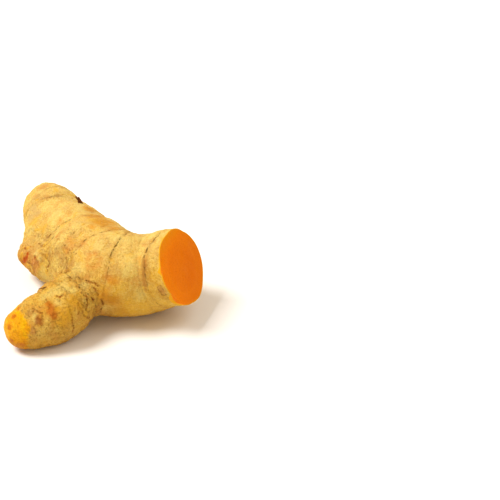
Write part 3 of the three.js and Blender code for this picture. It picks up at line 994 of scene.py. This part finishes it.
    # patches
    edge = s.math("MULTIPLY", s.math("SUBTRACT", s.noise(mm, 0.8, 4.0, 0.6), 0.5), 1.7)

    def patch(name, strength, color, from_=1.15, to=0.25):
        nonlocal col
        d = s.math("ADD", s.attr(name), edge)
        col = s.mix(s.step(d, from_, to, 0.0, strength), col, color)
        return d

    hue = s.noise(mm, 0.24, 3.0, 0.6, 0.5)
    col = s.mix(s.step(hue, 0.54, 0.68, 0.0, 0.52), col, lin(244, 184, 46))
    col = s.mix(s.step(hue, 0.44, 0.32, 0.0, 0.48), col, lin(226, 158, 70))
    # paler skin, and painted highlight
    patch("pale_and_highlight", 0.46, lin(255, 230, 132))
    # greyish skin, and painted shade
    patch("greyed_and_shade", 0.50, lin(190, 140, 72))
    # painted shade: the cream patches are darkened
    patch("cream_and_shade", 0.60, lin(212, 170, 106), 1.5, 0.3)
    patch("blush", 0.42, lin(234, 142, 48), 1.8, 0.1)
    # painted shade: the amber patches
    patch("amber_shade", 0.46, lin(204, 136, 32), 1.5, 0.2)
    patch("smear", 0.56, lin(184, 116, 40), 1.4, 0.2)
    patch("orange", 0.76, lin(212, 108, 8), 1.5, 0.3)
    patch("sunny", 0.58, lin(252, 188, 46), 1.6, 0.3)
    rp = patch("rust", 0.72, lin(170, 76, 10), 1.4, 0.3)
    patch("pink", 0.50, lin(204, 124, 66), 1.4, 0.2)
    lem = s.math("ADD", s.attr("lemon"), s.math("MULTIPLY", edge, 0.6))
    col = s.mix(s.step(lem, 1.3, 0.2, 0.0, 0.62), col, lin(252, 196, 62))
    bru = s.math("ADD", s.attr("bruise"), s.math("MULTIPLY", edge, 0.5))
    col = s.mix(s.step(bru, 1.9, 0.9, 0.0, 0.45), col, lin(226, 136, 20))
    col = s.mix(s.step(bru, 1.15, 0.5, 0.0, 0.90), col, lin(190, 78, 8))
    ov = s.math("ADD", s.attr("oval"), s.math("MULTIPLY", edge, 0.7))
    col = s.mix(s.step(ov, 1.3, 0.5, 0.0, 0.26), col, lin(206, 138, 70))
    rim_o = s.math("MULTIPLY", s.step(s.math("ABSOLUTE", s.math("SUBTRACT", ov, 0.7)), 0.28, 0.06), s.step(small, 0.42, 0.58, 0.1, 0.70))
    col = s.mix(rim_o, col, lin(142, 76, 26))
    sp = s.math("ADD", s.attr("scar"), s.math("MULTIPLY", edge, 0.35))
    col = s.mix(s.step(sp, 1.9, 0.9, 0.0, 0.38), col, lin(186, 120, 48))
    col = s.mix(s.step(sp, 0.75, 0.3, 0.0, 0.62), col, lin(112, 64, 24))
    # specks
    speck = s.step(s.cells(mm, 0.62), 0.12, 0.06)
    speck = s.math("MULTIPLY", speck, s.step(small, 0.5, 0.6))
    col = s.mix(s.math("MULTIPLY", speck, s.lerp(wf, 0.30, 0.50)), col, brown)
    col = s.mix(s.math("MULTIPLY", line, 0.80), col, lin(112, 78, 30))
    col = s.mix(s.math("MULTIPLY", cracks, 0.74), col, dark)
    # painted shade: the underside and lower flanks are darker and browner, more so nearer the floor
    sep = s.t.nodes.new("ShaderNodeSeparateXYZ")
    s.link(mm, sep.inputs[0])
    low = s.math("ADD", sep.outputs[2], s.math("MULTIPLY", s.math("SUBTRACT", cloud, 0.5), 8.0))
    col = s.mix(s.math("MULTIPLY", s.step(low, 10.0, 1.0, 0.0, 0.32), s.step(honey, 0.0, 0.6, 1.0, 0.25)), col, lin(206, 130, 28))
    # peeled tip: bright yellow flesh
    peel = s.step(s.math("ADD", s.attr("peel"), s.math("MULTIPLY", edge, 1.5)), -0.9, 0.7)
    bare = s.mix(s.step(mid, 0.4, 0.6), lin(255, 194, 10, 0.86), lin(250, 172, 6, 0.86))
    bare = s.mix(s.step(s.math("ADD", s.attr("peel"), s.math("MULTIPLY", edge, 1.4)), 1.8, 4.2, 0.0, 0.80), bare, lin(244, 164, 34, 0.84))
    bare = s.mix(s.step(small, 0.54, 0.70, 0.0, 0.5), bare, lin(226, 134, 20))
    bare = s.mix(s.step(s.math("ADD", s.attr("ember"), edge), 1.3, 0.2, 0.0, 0.80), bare, lin(222, 112, 18))
    bare = s.mix(s.step(s.attr("peel"), 1.2, 0.0, 0.0, 0.35), bare, lin(238, 160, 20))
    # painted shade: the bare flesh of the tip is darker low down
    bare = s.mix(s.step(low, 6.0, 1.5, 0.0, 0.85), bare, lin(216, 134, 34))
    col = s.mix(peel, col, bare)
    # the outermost skin by the knife cut is shaved to a bright line
    shaved = s.math("ADD", s.attr("shave"), s.math("MULTIPLY", s.math("SUBTRACT", small, 0.5), 0.5))
    wide = s.lerp(s.attr("strip"), 0.24, 1.20)
    col = s.mix(s.step(s.math("SUBTRACT", shaved, wide), 0.12, -0.10, 0.0, 0.90), col, lin(255, 182, 6, 0.84))
    col = s.mix(s.math("MULTIPLY", s.step(s.attr("strip"), 0.0, 0.25), s.step(s.attr("shave"), 0.06, -0.10)), col, lin(254, 134, 0, 0.89))

    s.link(col, s.shader.inputs["Base Color"])
    rough = s.lerp(peel, s.step(small, 0.3, 0.7, 0.52, 0.70), 0.45)
    s.link(rough, s.shader.inputs["Roughness"])
    s.shader.inputs["Subsurface Weight"].default_value = 0.10
    s.shader.inputs["Subsurface Radius"].default_value = (1.0, 0.45, 0.12)
    s.shader.inputs["Subsurface Scale"].default_value = 0.0016
    s.shader.inputs["Specular IOR Level"].default_value = 0.08
    h = s.math("MULTIPLY", small, 0.45)
    h = s.math("ADD", h, s.math("MULTIPLY", grain, 0.45))
    h = s.math("ADD", h, s.math("MULTIPLY", fine, 0.20))
    h = s.math("ADD", h, s.math("MULTIPLY", around, 0.25))
    h = s.math("MULTIPLY", h, s.lerp(s.math("MAXIMUM", wf, s.attr("crease_b")), 1.0, 1.45))
    h = s.math("SUBTRACT", h, s.math("MULTIPLY", folds, 0.5))
    h = s.math("SUBTRACT", h, s.math("MULTIPLY", crinkle, 0.7))
    h = s.math("SUBTRACT", h, s.math("MULTIPLY", line, 0.8))
    h = s.math("SUBTRACT", h, s.math("MULTIPLY", cracks, 1.0))
    s.bump(h, 0.00062, 1.0)
    return s.mat


def flesh_material():
    s = Nodes("turmeric_flesh")
    mm = s.mm
    share = s.attr("share")
    wob = s.math("MULTIPLY", s.math("SUBTRACT", s.noise(mm, 0.35, 2.0), 0.5), 0.05)
    r = s.math("ADD", share, wob)
    soft = s.noise(mm, 0.16, 2.0)
    grain = s.noise(mm, 3.0, 4.0, 0.66)
    core, cortex = lin(246, 127, 0, 0.87), lin(252, 138, 0, 0.89)
    col = s.mix(s.step(r, 0.40, 0.92), core, cortex)
    line = s.math("SUBTRACT", 1.0, s.step(s.math("ABSOLUTE", s.math("SUBTRACT", r, 0.70)), 0.0, 0.045))
    col = s.mix(s.math("MULTIPLY", line, 0.40), col, lin(255, 150, 8, 0.90))
    line2 = s.math("SUBTRACT", 1.0, s.step(s.math("ABSOLUTE", s.math("SUBTRACT", r, 0.42)), 0.0, 0.06))
    col = s.mix(s.math("MULTIPLY", line2, 0.12), col, lin(242, 126, 0))
    col = s.mix(s.step(soft, 0.40, 0.68, 0.0, 0.35), col, lin(250, 136, 0, 0.84))
    col = s.mix(s.step(grain, 0.50, 0.64, 0.0, 0.42), col, lin(228, 102, 0))
    col = s.mix(s.step(grain, 0.46, 0.34, 0.0, 0.36), col, lin(255, 140, 2, 0.90))
    dots = s.step(s.cells(mm, 0.95), 0.16, 0.05)
    col = s.mix(s.math("MULTIPLY", dots, 0.18), col, lin(216, 96, 0))
    sep = s.t.nodes.new("ShaderNodeSeparateXYZ")
    s.link(mm, sep.inputs[0])
    top = s.math("MULTIPLY", s.step(sep.outputs[2], 23.0, 27.0), s.step(r, 0.55, 0.95))
    col = s.mix(s.step(sep.outputs[0], 19.0, 27.5, 0.0, 0.40), col, lin(226, 104, 0))
    col = s.mix(s.math("MULTIPLY", top, 0.75), col, lin(255, 158, 0))
    inset = s.math("ADD", s.attr("inset"), s.math("MULTIPLY", s.math("SUBTRACT", s.noise(mm, 1.4, 2.0), 0.5), 0.2))
    col = s.mix(s.step(inset, 0.22, 0.0), col, lin(248, 178, 34))
    s.link(col, s.shader.inputs["Base Color"])
    s.link(s.step(grain, 0.3, 0.7, 0.36, 0.52), s.shader.inputs["Roughness"])
    s.shader.inputs["Subsurface Weight"].default_value = 0.15
    s.shader.inputs["Subsurface Radius"].default_value = (1.0, 0.35, 0.05)
    s.shader.inputs["Subsurface Scale"].default_value = 0.002
    s.shader.inputs["Specular IOR Level"].default_value = 0.02
    h = s.math("ADD", s.math("MULTIPLY", grain, 0.6), s.math("MULTIPLY", s.noise(mm, 7.0, 2.0), 0.3))
    s.bump(h, 0.00012, 0.6)
    return s.mat


mesh.materials.append(skin_material())
mesh.materials.append(flesh_material())
body = bpy.data.objects.new("turmeric_body", mesh)
bpy.context.scene.collection.objects.link(body)
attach(body, "root")
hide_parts("turmeric_rhizome")

# ------------------------------------------------------------------ scraps of dry papery scale
def scale_leaf(at, n, along, length, width, lift, seed):
    """A closed, curled, ragged sliver that grows out of the skin at a point."""
    n = n / np.linalg.norm(n)
    u = along - n * (along @ n)
    u /= np.linalg.norm(u)
    v = np.cross(n, u)
    rows, cols = 9, 7
    r = np.random.default_rng(seed)
    ragged = 1 + 0.10 * r.standard_normal(cols)
    top = []
    for i in range(rows):
        a0 = i / (rows - 1)
        for j in range(cols):
            b0 = 2 * j / (cols - 1) - 1
            reach = length * (a0 * (0.75 + 0.25 * ragged[j]) - 0.12)
            half = 0.5 * width * (1 - 0.72 * a0**1.6)
            up = lift * a0**1.7 - 0.35 * (1 - a0) ** 2 + 0.22 * width * (b0 * b0) * (0.3 + a0)
            up += 0.05 * math.sin(5 * a0 + 3 * b0 + seed)
            top.append(at + u * reach + v * (half * b0) + n * up)
    top = np.array(top)
    under = top - n * 0.12
    vs = np.concatenate([top, under])
    fs, k = [], rows * cols

    def q(i, j):
        return i * cols + j

    for i in range(rows - 1):
        for j in range(cols - 1):
            fs.append([q(i, j), q(i + 1, j), q(i + 1, j + 1), q(i, j + 1)])
            fs.append([k + q(i, j + 1), k + q(i + 1, j + 1), k + q(i + 1, j), k + q(i, j)])
    loop = [q(i, 0) for i in range(rows)] + [q(rows - 1, j) for j in range(1, cols)]
    loop += [q(i, cols - 1) for i in range(rows - 2, -1, -1)] + [q(0, j) for j in range(cols - 2, 0, -1)]
    for x, y in zip(loop, loop[1:] + loop[:1]):
        fs.append([y, x, k + x, k + y])
    return vs, fs


LEAVES = [
    # where, which way it points, length, width, lift
    (photo_points([(47.2, 286.2)])[0], np.array([-1.0, -0.45, -0.25]), 2.8, 0.7, 0.6),
    (photo_points([(80.5, 202.2)])[0], np.array([-0.55, 0.8, 0.7]), 2.4, 1.7, 1.0),
    (photo_points([(80.6, 203.6)])[0], np.array([-0.40, 0.52, 0.76]), 2.5, 1.5, 0.4),
    (on_skin(-2.0, 8.0, 16.0), np.array([-0.4, 1.0, 0.1]), 1.8, 1.0, 0.35),
    (on_skin(14.5, -4.5, 14.0), np.array([-1.0, 0.3, 0.2]), 1.6, 0.9, 0.35),
    (on_skin(-12.0, 24.0, 11.0), np.array([-0.3, 1.0, 0.2]), 1.5, 0.8, 0.3),
]
vs_all, fs_all = [], []
for k, (at, along, length, width, lift) in enumerate(LEAVES):
    if abs(float(field(at[None])[0])) > 0.5:
        continue
    up = np.array([0.25, -0.80, 0.54]) if k == 2 else slope(at[None])[0]
    vs, fs = scale_leaf(at, up, along, length, width, lift, k + 3)
    base = sum(len(x) for x in vs_all)
    vs_all.append(vs)
    fs_all += [[i + base for i in f] for f in fs]
leaf_mesh = bpy.data.meshes.new("papery_scales")
leaf_mesh.from_pydata(((np.concatenate(vs_all) + SHIFT) / 1000).tolist(), [], fs_all)
leaf_mesh.validate()
bm = bmesh.new()
bm.from_mesh(leaf_mesh)
bmesh.ops.recalc_face_normals(bm, faces=bm.faces[:])
bm.to_mesh(leaf_mesh)
bm.free()
leaf_mesh.polygons.foreach_set("use_smooth", [True] * len(leaf_mesh.polygons))


def paper_material():
    s = Nodes("papery_scale")
    n = s.noise(s.mm, 1.6, 3.0, 0.6)
    col = s.mix(s.step(n, 0.35, 0.65), lin(104, 58, 24), lin(160, 98, 44))
    s.link(col, s.shader.inputs["Base Color"])
    s.shader.inputs["Roughness"].default_value = 0.8
    s.shader.inputs["Specular IOR Level"].default_value = 0.2
    s.bump(n, 0.0001, 0.6)
    return s.mat


leaf_mesh.materials.append(paper_material())
leaves = bpy.data.objects.new("papery_scales", leaf_mesh)
bpy.context.scene.collection.objects.link(leaves)
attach(leaves, "root")

# ------------------------------------------------------------------ floor, light and camera
plane = bpy.data.meshes.new("floor")
plane.from_pydata([(-4, -4, 0), (4, -4, 0), (4, 4, 0), (-4, 4, 0)], [], [(0, 1, 2, 3)])
floor = bpy.data.objects.new("floor", plane)
bpy.context.scene.collection.objects.link(floor)
white = bpy.data.materials.new("floor_white")
white.use_nodes = True
w = white.node_tree.nodes["Principled BSDF"]
w.inputs["Base Color"].default_value = (0.9, 0.9, 0.89, 1)
w.inputs["Roughness"].default_value = 0.9
w.inputs["Specular IOR Level"].default_value = 0.1
plane.materials.append(white)

world = bpy.data.worlds.new("studio")
bpy.context.scene.world = world
world.use_nodes = True
world.node_tree.nodes["Background"].inputs[0].default_value = (1.0, 0.82, 0.61, 1)
world.node_tree.nodes["Background"].inputs[1].default_value = 0.60


def area(name, at, look, size, watts, color=(1, 1, 1)):
    lamp = bpy.data.lights.new(name, "AREA")
    lamp.shape = "DISK"
    lamp.size = size
    lamp.energy = watts
    lamp.color = color
    o = bpy.data.objects.new(name, lamp)
    o.location = at
    o.rotation_euler = (Vector(look) - Vector(at)).to_track_quat("-Z", "Y").to_euler()
    bpy.context.scene.collection.objects.link(o)


area("key", (-0.385, -0.02, 0.61), (0, 0, 0.01), 0.34, 5.4)
area("fill", (0.42, 0.03, 0.54), (0, 0, 0.01), 0.60, 1.3)

cam = bpy.data.cameras.new("camera")
cam.sensor_width = 36.0
cam.lens = 36.0 * 560.0 / 155.0
cam.clip_start = 0.01
eye = bpy.data.objects.new("camera", cam)
eye.location = (np.array([39.8, -440.225, 321.203]) + SHIFT) / 1000
eye.rotation_euler = (math.radians(55.0), 0, 0)
bpy.context.scene.collection.objects.link(eye)
bpy.context.scene.camera = eye
bpy.context.scene.view_settings.view_transform = "Standard"
